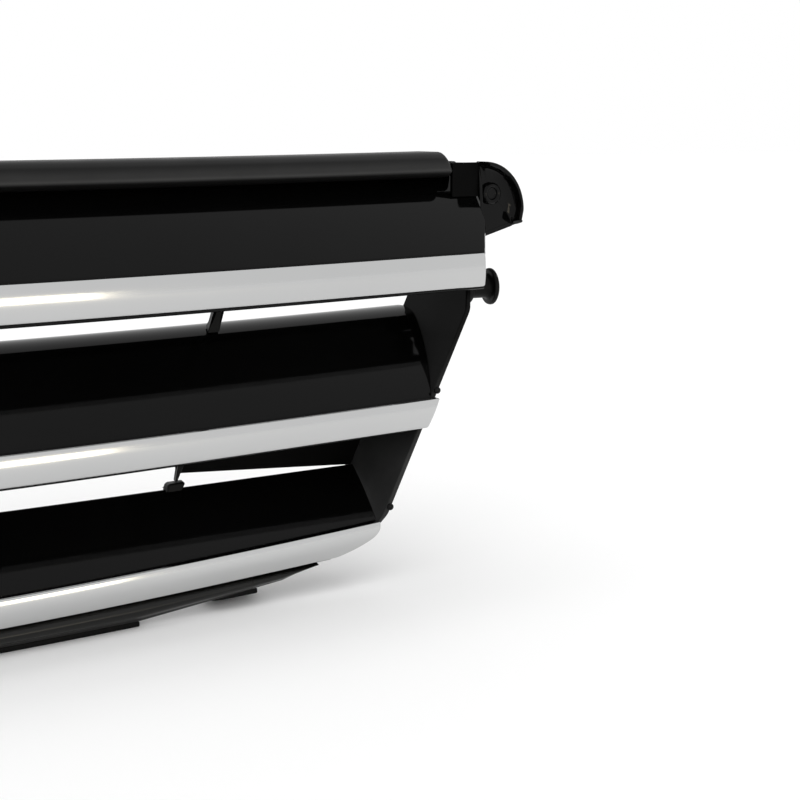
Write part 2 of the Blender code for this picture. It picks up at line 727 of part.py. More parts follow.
def ear_outline(inset):
    """The ear seen from the front, set in by the rim's wall along the top and the outer side only."""
    radius = EAR_RADIUS - inset
    centre_x, centre_z = EAR_OUTER - EAR_RADIUS, ear_top() - EAR_RADIUS
    stem, shoulder = HALF_WIDTH + 2 * GAP, ear_top() - EAR_SHOULDER_DROP
    heel, corner = ear_top() - EAR_HEEL_DROP, ear_top() - EAR_CORNER_DROP
    points = [(EAR_HEEL_X, heel), (EAR_HEEL_X, EAR_STEM_Z), (stem, EAR_STEM_Z), (stem, shoulder)]
    points += [(EAR_INNER, shoulder), (EAR_INNER, ear_top() - inset)]
    for step in range(9):
        angle = math.pi / 2 * (1 - step / 8)
        points.append((centre_x + radius * math.cos(angle), centre_z + radius * math.sin(angle)))
    points.append((EAR_OUTER - inset, corner))
    points.append((EAR_OUTER - EAR_WALL - inset, corner - EAR_WALL))
    return points


def build_ears(finish, bush_finish, where, cutters):
    for side, sign in SIDES.items():
        def ring(outline, depth):
            return [at(sign * x, depth, z) for x, z in outline]

        outline = ear_outline(0)
        ear = sweep(f"ear_{side}", [ring(outline, EAR_BACK), ring(outline, EAR_FRONT)], finish, where)
        pocket = ear_outline(EAR_WALL)[5:-1]
        inner, corner = HALF_WIDTH - 3 * MM, pocket[-1][0]
        pocket[0] = (inner, pocket[0][1])
        pocket[-1] = (corner, EAR_STEM_Z - 8 * MM)
        pocket.append((inner, EAR_STEM_Z - 8 * MM))
        floor, front = EAR_BACK - EAR_WALL, EAR_FRONT - 4 * MM
        cutter = sweep(f"ear_pocket_{side}", [ring(pocket, floor), ring(pocket, front)], finish, cutters)
        cut(ear, cutter)
        hole_z = ear_top() - EAR_HOLE_DROP
        hole = at(sign * EAR_HOLE_X, EAR_BACK, hole_z)
        back = Vector((-sign * BOW_SLOPE * EAR_HOLE_X / math.hypot(EAR_HOLE_X, BOW_NOSE), 1, 0)).normalized()
        cut(ear, drill(f"ear_hole_{side}", EAR_HOLE_R, 8 * EAR_WALL, hole, back, cutters))
        bore, outer, floor = EAR_HOLE_R - 0.6 * MM, EAR_HOLE_R + BUSH_WALL, 0.8 * MM
        profile = [
            (bore, 0),
            (outer - 0.6 * MM, 0),
            (outer, -0.6 * MM),
            (outer, -BUSH_HEIGHT),
            (0, -BUSH_HEIGHT),
            (0, floor - BUSH_HEIGHT),
            (bore, floor - BUSH_HEIGHT),
            (bore, 0),
        ]
        seat = at(sign * EAR_HOLE_X, EAR_BACK - EAR_WALL, hole_z) - back * (GAP + 0.1 * MM)
        turned(f"ear_bush_{side}", profile, 20, bush_finish, where, -back, seat - back * BUSH_HEIGHT)


# ---------------------------------------------------------------- the whole grille
def build():
    clear_scene()
    grille = collection("front_grille")
    cutters = collection("cutters")
    gloss = material("gloss_black", (0.012, 0.012, 0.013), 0.08)
    satin = material("satin_black", (0.030, 0.030, 0.031), 0.45)
    bright = material("bright_trim", (0.78, 0.78, 0.77), 0.10, 1.0)
    plain = material("moulded_black", (0.020, 0.020, 0.021), 0.50)

    louvres = build_louvres(gloss, grille)
    build_trims(bright, grille)
    build_trim_pins(louvres, plain, grille, cutters)
    build_rail(satin, grille)
    build_rail_tabs(plain, grille)
    build_lip(gloss, grille)
    build_shelf(plain, grille)
    build_posts(plain, plain, grille)
    build_baffles(plain, grille)
    build_cheeks(plain, grille)
    build_end_walls(gloss, grille)
    build_cheek_pins(plain, grille)
    build_studs(plain, plain, grille)
    build_ears(gloss, plain, grille, cutters)


build()
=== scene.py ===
import math

import bpy
import numpy as np
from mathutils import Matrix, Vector


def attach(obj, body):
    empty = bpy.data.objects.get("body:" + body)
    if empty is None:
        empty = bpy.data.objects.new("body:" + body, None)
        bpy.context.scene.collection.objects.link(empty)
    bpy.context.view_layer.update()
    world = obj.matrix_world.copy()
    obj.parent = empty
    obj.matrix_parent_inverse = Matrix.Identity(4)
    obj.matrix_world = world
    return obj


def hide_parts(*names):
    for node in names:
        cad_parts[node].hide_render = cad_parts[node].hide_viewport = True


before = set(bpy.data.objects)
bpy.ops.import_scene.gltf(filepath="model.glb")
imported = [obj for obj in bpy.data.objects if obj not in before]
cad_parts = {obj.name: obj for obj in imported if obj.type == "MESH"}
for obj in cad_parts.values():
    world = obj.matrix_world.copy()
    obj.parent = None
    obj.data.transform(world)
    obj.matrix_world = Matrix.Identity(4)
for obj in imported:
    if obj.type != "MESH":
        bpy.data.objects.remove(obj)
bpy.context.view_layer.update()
mm = 0.001
sides = {"left": -1, "right": 1}

# the front line's plan: a hyperbola, round at the centre, nearly straight at the ends
plan = {"frontY": -27 * mm, "slope": 0.20, "nose": 100 * mm, "riseSpan": 340 * mm}
sidePoint = {"x": 333.7 * mm, "z": 133.7 * mm, "lean": 0.50, "flare": 0.32}
gap = 0.4 * mm  # between pieces that sit on each other


def bow(x):
    return plan["slope"] * (np.hypot(x, plan["nose"]) - plan["nose"])


def bowSlope(x):
    return plan["slope"] * x / np.hypot(x, plan["nose"])


def lift(x, rise):
    return rise * (x / plan["riseSpan"]) ** 2


def place(x, depth, z):  # depth runs back from the front line
    x, depth, z = np.broadcast_arrays(x, depth, z)
    return np.stack([x, plan["frontY"] + bow(x) + depth, z], -1)


def sideLine(depth, z):
    return sidePoint["x"] + sidePoint["lean"] * (z - sidePoint["z"]) - sidePoint["flare"] * depth


# finishes, some with painted light and shade
def newMaterial(name):
    made = bpy.data.materials.new(name)
    made.use_nodes = True
    tree = made.node_tree
    return made, tree, tree.nodes["Principled BSDF"]


def noiseNode(tree, scale, detail=3.0, stretch=None):
    coords = tree.nodes.new("ShaderNodeTexCoord")
    noise = tree.nodes.new("ShaderNodeTexNoise")
    noise.inputs["Scale"].default_value = scale
    noise.inputs["Detail"].default_value = detail
    if stretch:
        mapping = tree.nodes.new("ShaderNodeMapping")
        mapping.inputs["Scale"].default_value = stretch
        tree.links.new(coords.outputs["Object"], mapping.inputs["Vector"])
        tree.links.new(mapping.outputs["Vector"], noise.inputs["Vector"])
    else:
        tree.links.new(coords.outputs["Object"], noise.inputs["Vector"])
    return noise


def rangeNode(tree, source, low, high, fromLow=0.3, fromHigh=0.7):
    ramp = tree.nodes.new("ShaderNodeMapRange")
    ramp.inputs["From Min"].default_value = fromLow
    ramp.inputs["From Max"].default_value = fromHigh
    ramp.inputs["To Min"].default_value = low
    ramp.inputs["To Max"].default_value = high
    tree.links.new(source, ramp.inputs["Value"])
    return ramp


def mottle(tree, shader, dark, light, scale, stretch=None):  # colour wanders between two tones
    noise = noiseNode(tree, scale, 4.0, stretch)
    ramp = tree.nodes.new("ShaderNodeValToRGB")
    ramp.color_ramp.elements[0].position = 0.30
    ramp.color_ramp.elements[1].position = 0.70
    ramp.color_ramp.elements[0].color = (*dark, 1)
    ramp.color_ramp.elements[1].color = (*light, 1)
    tree.links.new(noise.outputs["Fac"], ramp.inputs["Fac"])
    tree.links.new(ramp.outputs["Color"], shader.inputs["Base Color"])


def addBumps(tree, shader, layers):  # each layer: (height source, distance)
    last = None
    for source, distance in layers:
        bump = tree.nodes.new("ShaderNodeBump")
        bump.inputs["Distance"].default_value = distance
        bump.inputs["Strength"].default_value = 1.0
        tree.links.new(source, bump.inputs["Height"])
        if last:
            tree.links.new(last.outputs["Normal"], bump.inputs["Normal"])
        last = bump
    tree.links.new(last.outputs["Normal"], shader.inputs["Normal"])


glossLook = {"dark": (0.0010, 0.0010, 0.0010), "light": (0.0018, 0.0018, 0.0018), "rough": (0.045, 0.085),
        "specular": 0.128}
satinLook = {"rough": (0.42, 0.50), "specular": 0.10}
mouldedLook = {"dark": (0.0018, 0.0018, 0.0018), "light": (0.0030, 0.0030, 0.0030), "rough": (0.34, 0.46),
        "specular": 0.10}
lipLook = {"dark": (0.0040, 0.0039, 0.0034), "light": (0.0060, 0.0058, 0.0052), "rough": (0.20, 0.28),
        "specular": 0.26}
# painted shade: the gloss black's colour with nearly no reflection, so the baffles and the ear's web stay
# as dark as the shade in their recesses
paintedShadeLook = {"dark": (0.0010, 0.0010, 0.0010), "light": (0.0018, 0.0018, 0.0018), "rough": (0.50, 0.62),
        "specular": 0.035}
chromeLook = {"dark": (0.505, 0.508, 0.508), "light": (0.535, 0.538, 0.538), "rough": (0.09, 0.13)}


def glossBlack():
    made, tree, shader = newMaterial("glossBlack")
    mottle(tree, shader, glossLook["dark"], glossLook["light"], 9.0)
    smudge = noiseNode(tree, 14.0, 5.0, (1.0, 1.0, 2.5))
    rough = rangeNode(tree, smudge.outputs["Fac"], *glossLook["rough"])
    tree.links.new(rough.outputs["Result"], shader.inputs["Roughness"])
    shader.inputs["Specular IOR Level"].default_value = glossLook["specular"]
    peel = noiseNode(tree, 700.0, 1.0)  # the faint peel of a polished moulding
    swell = noiseNode(tree, 22.0, 0.0)
    addBumps(tree, shader, [(swell.outputs["Fac"], 0.04 * mm), (peel.outputs["Fac"], 0.0012 * mm)])
    return made


def grained(name, look, grainScale, grainDepth, mottled=True):  # a moulded skin with an eroded grain
    made, tree, shader = newMaterial(name)
    if mottled:
        mottle(tree, shader, look["dark"], look["light"], 30.0)
    patches = noiseNode(tree, 40.0, 4.0)
    rough = rangeNode(tree, patches.outputs["Fac"], *look["rough"])
    tree.links.new(rough.outputs["Result"], shader.inputs["Roughness"])
    shader.inputs["Specular IOR Level"].default_value = look["specular"]
    grain = noiseNode(tree, grainScale, 2.0)
    addBumps(tree, shader, [(grain.outputs["Fac"], grainDepth)])
    return made


def cheekPaintedLightBlack():  # the moulded skin with painted light: greyer towards the foot of the panel, standing in for the light the lower cheek reflects, near black above
    made = grained("cheekPaintedLightBlack", mouldedLook, 1600.0, 0.010 * mm, mottled=False)
    tree = made.node_tree
    shader = tree.nodes["Principled BSDF"]
    coords = tree.nodes.new("ShaderNodeTexCoord")
    split = tree.nodes.new("ShaderNodeSeparateXYZ")
    tree.links.new(coords.outputs["Object"], split.inputs["Vector"])
    # painted light: the base colour runs from grey at the foot to near black higher up
    paintedShading = rangeNode(tree, split.outputs["Z"], 0.030, 0.002, 60 * mm, 120 * mm)
    bloom = noiseNode(tree, 60.0, 4.0)
    patchy = rangeNode(tree, bloom.outputs["Fac"], 0.85, 1.15)
    mix = tree.nodes.new("ShaderNodeMath")
    mix.operation = "MULTIPLY"
    tree.links.new(paintedShading.outputs["Result"], mix.inputs[0])
    tree.links.new(patchy.outputs["Result"], mix.inputs[1])
    tree.links.new(mix.outputs["Value"], shader.inputs["Base Color"])
    shader.inputs["Specular IOR Level"].default_value = 0.07
    return made


def satinPaintedShadeSkin():  # the satin moulding with painted light and shade: lighter where its surface faces forward, darker where it faces up and darker still where it turns under
    made = grained("satinPaintedShadeSkin", satinLook, 2600.0, 0.006 * mm, mottled=False)
    tree = made.node_tree
    shader = tree.nodes["Principled BSDF"]
    geometry = tree.nodes.new("ShaderNodeNewGeometry")
    split = tree.nodes.new("ShaderNodeSeparateXYZ")
    tree.links.new(geometry.outputs["Normal"], split.inputs["Vector"])
    # painted light and shade: the base colour falls as the surface turns to face up
    paintedShading = rangeNode(tree, split.outputs["Z"], 0.036, 0.006, 0.0, 0.70)
    wear = noiseNode(tree, 45.0, 5.0, (1.0, 1.0, 3.0))
    patchy = rangeNode(tree, wear.outputs["Fac"], 0.90, 1.10)
    # painted shade where the surface turns under
    under = rangeNode(tree, split.outputs["Z"], 0.08, 1.0, -0.50, -0.08)
    patchyPaintedShade = tree.nodes.new("ShaderNodeMath")
    patchyPaintedShade.operation = "MULTIPLY"
    tree.links.new(patchy.outputs["Result"], patchyPaintedShade.inputs[0])
    tree.links.new(under.outputs["Result"], patchyPaintedShade.inputs[1])
    mix = tree.nodes.new("ShaderNodeMath")
    mix.operation = "MULTIPLY"
    tree.links.new(paintedShading.outputs["Result"], mix.inputs[0])
    tree.links.new(patchyPaintedShade.outputs["Value"], mix.inputs[1])
    tree.links.new(mix.outputs["Value"], shader.inputs["Base Color"])
    return made


def brightPlate():
    made, tree, shader = newMaterial("brightPlate")
    mottle(tree, shader, chromeLook["dark"], chromeLook["light"], 5.0)
    shader.inputs["Metallic"].default_value = 1.0
    haze = noiseNode(tree, 30.0, 5.0, (1.0, 1.0, 4.0))
    rough = rangeNode(tree, haze.outputs["Fac"], *chromeLook["rough"])
    tree.links.new(rough.outputs["Result"], shader.inputs["Roughness"])
    swell = noiseNode(tree, 28.0, 1.0, (0.5, 1.0, 1.0))
    addBumps(tree, shader, [(swell.outputs["Fac"], 0.05 * mm)])
    return made


gloss = glossBlack()
satin = satinPaintedShadeSkin()
moulded = grained("mouldedBlack", mouldedLook, 1600.0, 0.010 * mm)
cheekPaintedLightSkin = cheekPaintedLightBlack()
lipSkin = grained("lipSkin", lipLook, 900.0, 0.004 * mm)
# the recess black is painted shade for the baffles and the ear's web
recessShadeMaterial = grained("paintedShadeBlack", paintedShadeLook, 1200.0, 0.012 * mm)
bright = brightPlate()
print("stage: finishes")


# mesh making
def finishPiece(name, points, faces, material, stands, sharp=40):
    mesh = bpy.data.meshes.new(name)
    mesh.from_pydata(points.reshape(-1, 3), [], faces)
    mesh.validate()
    mesh.materials.append(material)
    piece = bpy.data.objects.new(name, mesh)
    bpy.context.scene.collection.objects.link(piece)
    mesh.shade_smooth()
    mesh.set_sharp_from_angle(angle=math.radians(sharp))
    even = piece.modifiers.new("even normals", "WEIGHTED_NORMAL")
    even.keep_sharp = True
    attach(piece, "root")
    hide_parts(*stands)
    return piece


def fanned(faces):  # every face as triangles from its first corner
    return np.array([(f[0], f[k], f[k + 1]) for f in faces for k in range(1, len(f) - 1)])


def outward(points, faces):  # turns every face round if the closed mesh holds a negative volume
    p = points.reshape(-1, 3)
    p = p - p.mean(0)
    a, b, c = (p[corner] for corner in fanned(faces).T)
    volume = (np.cross(a, b) * c).sum()
    return faces if volume > 0 else [tuple(reversed(f)) for f in faces]


def sleeve(rows, count, rowsClosed=False):  # quads between neighbouring rings of a grid
    i, j = np.meshgrid(np.arange(rows if rowsClosed else rows - 1), np.arange(count), indexing="ij")
    i2, j2 = (i + 1) % rows, (j + 1) % count
    quads = np.stack([i * count + j, i * count + j2, i2 * count + j2, i2 * count + j], -1)
    return [tuple(quad) for quad in quads.reshape(-1, 4).tolist()]


def tube(grid):  # rows of closed rings, each end filled by a zip of quads across the ring
    rows, count = grid.shape[:2]
    faces = sleeve(rows, count)
    half = count // 2
    for row, turn in ((0, False), (rows - 1, True)):
        for j in range(half - 1):
            quad = (j, j + 1, count - 2 - j, count - 1 - j)
            quad = tuple(row * count + v for v in quad)
            faces.append(quad if turn else tuple(reversed(quad)))
        if count % 2:
            last = tuple(row * count + v for v in (half - 1, half, half + 1))
            faces.append(last if turn else tuple(reversed(last)))
    return outward(grid, faces)


def plug(grid):  # rows of closed rings, each end filled by one flat face
    rows, count = grid.shape[:2]
    faces = sleeve(rows, count)
    faces.append(tuple(reversed(range(count))))
    faces.append(tuple((rows - 1) * count + j for j in range(count)))
    return outward(grid, faces)


def loop(grid):  # rows and rings both closed, for a plate round a hole
    return outward(grid, sleeve(*grid.shape[:2], rowsClosed=True))


def rounded(corners, radii, steps=5):
    # each corner of a closed outline becomes a quadratic blend from a point before it to a point after it
    p = np.array(corners, float)
    before, after = np.roll(p, 1, 0), np.roll(p, -1, 0)
    reach = np.broadcast_to(np.array(radii, float), len(p))
    toBefore, toAfter = before - p, after - p
    lengthBefore = np.linalg.norm(toBefore, axis=1)
    lengthAfter = np.linalg.norm(toAfter, axis=1)
    reach = np.minimum(reach, 0.48 * np.minimum(lengthBefore, lengthAfter))[:, None]
    start = p + toBefore / lengthBefore[:, None] * reach
    end = p + toAfter / lengthAfter[:, None] * reach
    s = np.linspace(0, 1, steps)[None, :, None]
    blend = (1 - s) ** 2 * start[:, None] + 2 * s * (1 - s) * p[:, None] + s**2 * end[:, None]
    return blend.reshape(-1, 2)


def ringNormals(ring):  # outward normals of a closed outline in a plane
    tangent = np.roll(ring, -1, 0) - np.roll(ring, 1, 0)
    normal = np.stack([tangent[:, 1], -tangent[:, 0]], -1)
    normal /= np.linalg.norm(normal, axis=1, keepdims=True) + 1e-12
    area = (ring[:, 0] * np.roll(ring[:, 1], -1) - np.roll(ring[:, 0], -1) * ring[:, 1]).sum()
    return normal * (1 if area > 0 else -1)


def turning(start, bends, samples):
    # a path whose slope angle changes evenly along each bend: (from degrees, to degrees, length)
    pairs = list(zip(bends, samples))
    angle = np.concatenate([np.radians(np.linspace(a, b, n, endpoint=False)) for (a, b, _), n in pairs])
    step = np.concatenate([np.full(n, length / n) for (_, _, length), n in pairs])
    angle = np.append(angle, math.radians(bends[-1][1]))
    middle = (angle[1:] + angle[:-1]) / 2
    depth = start[0] + np.append(0, np.cumsum(np.cos(middle) * step))
    z = start[1] + np.append(0, np.cumsum(np.sin(middle) * step))
    return depth, z, angle


def wallRing(path, wall):
    # the path, a half circle round its far end, the path set off by the wall, a half circle at its near end
    depth, z, angle = path
    outer = np.stack([depth, z], -1)
    inner = outer + wall * np.stack([np.sin(angle), -np.cos(angle)], -1)
    turn = np.linspace(0, math.pi, 9)[1:-1, None]

    def cap(at, a, forward):
        centre = at + wall / 2 * np.array([math.sin(a), -math.cos(a)])
        up = np.array([-math.sin(a), math.cos(a)])
        along = np.array([math.cos(a), math.sin(a)]) * (1 if forward else -1)
        first = up if forward else -up
        return centre + wall / 2 * (np.cos(turn) * first + np.sin(turn) * along)

    return np.concatenate([outer, cap(outer[-1], angle[-1], True), inner[::-1],
            cap(outer[0], angle[0], False)])


def barGrid(ring, halfWidth, climb, stations=140, edge=0.5 * mm):
    # the ring carried across the front line; its last rows draw in to round the ends
    normal = ringNormals(ring)
    turn = np.linspace(0, math.pi / 2, 5)[1:]
    share = np.concatenate([-np.ones(4), np.linspace(-1, 1, stations), np.ones(4)])[:, None]
    extra = np.concatenate([-np.sin(turn[::-1]), np.zeros(stations), np.sin(turn)])[:, None] * edge
    draw = np.concatenate([1 - np.cos(turn[::-1]), np.zeros(stations), 1 - np.cos(turn)])[:, None] * edge
    depth, z = ring[None, :, 0], ring[None, :, 1]
    rise = climb(depth)
    end = halfWidth(depth, z + lift(halfWidth(depth, z), rise))
    x = share * (end - edge) + extra
    return place(x, depth - normal[None, :, 0] * draw, z - normal[None, :, 1] * draw + lift(x, rise))


def bar(name, ring, halfWidth, climb, material, slotName, stands, **options):
    grid = barGrid(ring, halfWidth, climb, **options)
    return finishPiece(name, grid, tube(grid), material, stands)


def blockGrid(ring, near, far, edge):
    # an outline in (depth, z) carried from near(depth, z) to far(depth, z), with quarter-round edges
    normal = ringNormals(ring)
    turn = np.linspace(0, math.pi / 2, 5)
    inset = edge * np.concatenate([1 - np.cos(turn[::-1]), 1 - np.cos(turn)])[:, None]
    depth = ring[None, :, 0] - normal[None, :, 0] * inset
    z = ring[None, :, 1] - normal[None, :, 1] * inset
    a, b = near(depth, z), far(depth, z)
    reach = edge * (1 - np.sin(turn))
    away = np.concatenate([reach[::-1], reach])[:, None]
    first = (np.arange(10) < 5)[:, None]
    x = np.where(first, a + np.sign(b - a) * away, b - np.sign(b - a) * away)
    return place(x, depth, z)


def block(name, ring, near, far, edge, material, stands):
    grid = blockGrid(ring, near, far, edge)
    return finishPiece(name, grid, plug(grid), material, stands)


def turnedGrid(profile, base, axis, steps=36):
    # a profile of (radius, along) carried round an axis; its first and last rings are filled flat
    axis = np.array(axis, float) / np.linalg.norm(axis)
    across = np.cross(axis, [0, 0, 1.0]) if abs(axis[2]) < 0.9 else np.array([1.0, 0, 0])
    across /= np.linalg.norm(across)
    other = np.cross(axis, across)
    turn = np.linspace(0, math.tau, steps, endpoint=False)
    circle = np.cos(turn)[:, None] * across + np.sin(turn)[:, None] * other
    profile = np.array(profile)
    return np.array(base) + profile[:, None, :1] * circle[None] + profile[:, None, 1:] * axis


def turned(name, profile, base, axis, material, stands, steps=36):
    grid = turnedGrid(profile, base, axis, steps)
    return finishPiece(name, grid, plug(grid), material, stands, sharp=50)


def bent(corners, radius, steps=5):  # an open profile whose inner corners are blended
    p = np.array(corners, float)
    ring = rounded(p, [0] + [radius] * (len(p) - 2) + [0], steps).reshape(len(p), steps, 2)
    return np.concatenate([p[:1], *ring[1:-1], p[-1:]])


# trims
trims = {
    "upper": {"low": 144.0 * mm, "high": 161.1 * mm, "rise": 1.9 * mm},
    "middle": {"low": 74.5 * mm, "high": 89.0 * mm, "rise": 1.9 * mm},
    "lower": {"low": 12.6 * mm, "high": 26.1 * mm, "rise": 8.0 * mm},
}
trimShape = {"face": -1.85 * mm, "back": 3.7 * mm, "tilt": 12.0, "edge": 1.3 * mm, "overhang": 1.7 * mm}
upperEnd = 341.5 * mm
lowerEnd = {"corner": 26.0 * mm, "inset": 4.5 * mm}


def trimRing(trim):
    # a crowned face that leans from plus to minus the tilt, round edges, and a flat back
    half = (trim["high"] - trim["low"]) / 2
    middle = (trim["high"] + trim["low"]) / 2
    edge, tilt = trimShape["edge"], math.radians(trimShape["tilt"])
    flat = half - edge * (1 - math.sin(tilt))
    radius = flat / math.sin(tilt)
    lean = np.linspace(tilt, -tilt, 25)
    face = np.stack([trimShape["face"] + radius * (1 - np.cos(lean)), middle + radius * np.sin(lean)], -1)
    turn = np.linspace(tilt, math.pi / 2, 7)[1:]
    centre = face[-1] + edge * np.array([math.cos(tilt), math.sin(tilt)])
    under = centre + edge * np.stack([-np.cos(turn), -np.sin(turn)], -1)
    over = under * [1, -1] + [0, 2 * middle]
    back = np.array([[trimShape["back"], under[-1, 1]], [trimShape["back"], over[-1, 1]]])
    return np.concatenate([over[::-1], face, under,
            rounded([under[-1], *back, over[-1]], 0.4 * mm, 4)[4:-4]])


def upperWidth(depth, z):
    return upperEnd + 0 * depth + 0 * z


def middleTrimWidth(depth, z):
    return sideLine(0, z) + trimShape["overhang"]


def lowerTrimWidth(depth, z):
    trim = trims["lower"]
    top = trim["high"] + lift(sideLine(0, trim["high"]), trim["rise"])
    down = np.clip((top - z) / (trim["high"] - trim["low"] + 1 * mm), 0, 1)
    return sideLine(0, top) - lowerEnd["inset"] - lowerEnd["corner"] * down**3


trimWidths = {"upper": upperWidth, "middle": middleTrimWidth, "lower": lowerTrimWidth}
for row, trim in trims.items():
    bar(f"{row}TrimStrip", trimRing(trim), trimWidths[row], lambda d, t=trim: t["rise"] + 0 * d,
        bright, "bright_trim", [f"{row}_trim"], edge=0.8 * mm)
print("stage: trims")

# louvres
wall = 2.5 * mm
flange = {"depth": 4.2 * mm, "drop": 0.8 * mm, "over": 0.4 * mm}
wing = {"slope": 0.56, "reach": 9.5 * mm}  # the top louvre's ends run outwards as they run back


def arcLength(radius, a, b):
    return radius * mm * math.radians(abs(a - b))


louvres = {  # each bend: (from degrees, to degrees, length), after the upright flange
    "top": {
        "trim": "upper", "backRise": 3.0 * mm,
        "bends": [(51, 43, arcLength(355, 51, 43)), (43, 0, 5.0 * mm), (0, 0, 17.5 * mm)],
        "samples": [40, 8, 6],
    },
    "middle": {
        "trim": "middle", "backRise": 2.9 * mm,
        "bends": [(56, 36, arcLength(142, 56, 36)), (36, -14, arcLength(25.5, 36, -14))],
        "samples": [40, 20],
    },
    "bottom": {
        "trim": "lower", "backRise": -3.4 * mm,
        "bends": [(47, 38, arcLength(275, 47, 38))], "samples": [40],
    },
}


def louvrePath(row):
    shape = louvres[row]
    trim = trims[shape["trim"]]
    start = (flange["depth"], trim["low"] - flange["drop"])
    upright = trim["high"] + flange["over"] - start[1]
    first = shape["bends"][0][0]
    bends = [(90, 90, upright - 0.8 * mm), (90, first, 1.2 * mm)] + shape["bends"]
    last = bends[-1]
    bends[-1] = (last[0], last[1], last[2] - wall / 2)  # room for the round back edge
    return turning(start, bends, [8, 6] + shape["samples"])


def louvreClimb(row):
    shape = louvres[row]
    front = trims[shape["trim"]]["rise"]
    start, reach = flange["depth"], louvrePath(row)[0].max()
    return lambda d: front + (shape["backRise"] - front) * np.clip((d - start) / (reach - start), 0, 1)


def topWidth(depth, z):
    return upperEnd + np.clip(wing["slope"] * depth, 0, wing["reach"])


def middleWidth(depth, z):
    return sideLine(depth, z) - 0.1 * mm


def bottomWidth(depth, z):
    return np.minimum(sideLine(depth, z) - 0.1 * mm, lowerTrimWidth(depth, z) - gap)


louvreWidths = {"top": topWidth, "middle": middleWidth, "bottom": bottomWidth}
for row in louvres:
    bar(f"{row}LouvreBlade", wallRing(louvrePath(row), wall), louvreWidths[row], louvreClimb(row),
        gloss, "gloss_black", [f"{row}_louvre"])
print("stage: louvres")


def faceHeight(row, depth, x, under=False):  # height of a louvre's face, or of its underside, at a depth
    d, z, angle = louvrePath(row)
    points = np.stack([d, z], -1)[14:]
    if under:
        points = points + wall * np.stack([np.sin(angle), -np.cos(angle)], -1)[14:]
    order = np.argsort(points[:, 0])
    return float(np.interp(depth, points[order, 0], points[order, 1]) + lift(x, louvreClimb(row)(depth)))


# rail, with a lug at each end and two screw tabs behind it
railShape = {"nose": 24.0 * mm, "low": 197.6 * mm, "high": 210.6 * mm, "back": 62.0 * mm,
        "seat": 200.2 * mm,
             "end": 334.6 * mm, "rise": 3.0 * mm}
lugShape = {"depths": (30 * mm, 40 * mm), "heights": (201.0 * mm, 208.6 * mm), "reach": 5.5 * mm}
tabShape = {"places": (-60 * mm, 60 * mm), "half": 13 * mm, "reach": 26 * mm, "wall": 3 * mm,
        "hole": 4.2 * mm,
            "above": 4.0 * mm, "edge": 0.5 * mm}


def buildRail():
    n, lo, hi = railShape["nose"], railShape["low"], railShape["high"]
    corners = [
        (n + 3.0 * mm, lo), (n - 0.2 * mm, lo + 3.0 * mm), (n + 1.6 * mm, lo + 9.0 * mm),
        (n + 8.0 * mm, hi),
        (railShape["back"], hi), (railShape["back"], railShape["seat"]),
        (41.5 * mm, railShape["seat"]), (n + 12.5 * mm, lo + 0.3 * mm),
    ]
    ring = rounded(corners, np.array([2.0, 3.2, 3.4, 4.5, 2.5, 1, 1, 2]) * mm, 9)
    bar("topRailCap", ring, lambda d, z: railShape["end"] - 0.2 * np.abs(z - hi + 8 * mm),
        lambda d: railShape["rise"] + 0 * d, satin, "satin_black", ["top_rail"], edge=2.6 * mm)
    (d0, d1), (z0, z1) = lugShape["depths"], lugShape["heights"]
    lug = rounded([(d0, z0), (d0, z1), (d1, z1), (d1, z0)], 3.2 * mm, 7)
    start = railShape["end"] + gap
    for side, sign in sides.items():
        block(f"railLug{side.title()}", lug, lambda d, z: sign * start + 0 * d,
              lambda d, z: sign * (start + lugShape["reach"]) + 0 * d, 1.6 * mm, satin,
              [f"rail_lug_{side}"])


def buildRailTabs():
    # a D-shaped plate: rows run round the hole, each a rounded strip from the hole's edge to the outline
    t = tabShape
    turn = np.linspace(0, math.tau, 72, endpoint=False)
    straight = t["reach"] - t["half"]
    back = t["half"] * np.stack([np.cos(turn), np.sin(turn)], -1)
    square = back / np.maximum(np.abs(np.cos(turn)) / 1.0, np.abs(np.sin(turn)) * t["half"] / straight)[:,
            None]
    outline = np.where((np.sin(turn) < 0)[:, None], square, back)
    hole = t["hole"] * np.stack([np.cos(turn), np.sin(turn)], -1)
    half, edge = t["wall"] / 2, t["edge"]
    bend = np.linspace(0, math.pi / 2, 4)
    out = np.concatenate([edge * (1 - np.sin(bend[::-1])),
            edge * (1 - np.sin(bend))])  # inset from each edge
    up = np.concatenate([-half + edge * (1 - np.cos(bend[::-1])), half - edge * (1 - np.cos(bend))])
    length = np.linalg.norm(outline - hole, axis=1)[:, None, None]
    inset = np.concatenate([out, out[::-1]])[None, :, None]
    height = np.concatenate([up, up[::-1]])[None, :, None] + 0 * length
    outer = np.arange(16)[None, :, None] < 8
    share = np.where(outer, 1 - inset / length, inset / length)
    flat = hole[:, None] + (outline - hole)[:, None] * share
    for number, x in enumerate(t["places"], 1):
        z = 199.4 * mm + t["above"] + lift(x, railShape["rise"])
        base = place(x, railShape["back"] + 2 * gap, z)
        angle = math.atan(bowSlope(x))
        u, v = flat[..., :1], flat[..., 1:] + straight
        grid = np.concatenate([u * math.cos(angle) - v * math.sin(angle),
                               u * math.sin(angle) + v * math.cos(angle), height], -1) + base
        finishPiece(f"railTabPlate{number}", grid, loop(grid), moulded,
                [f"rail_tab_{number}"])


buildRail()
buildRailTabs()
print("stage: rail")

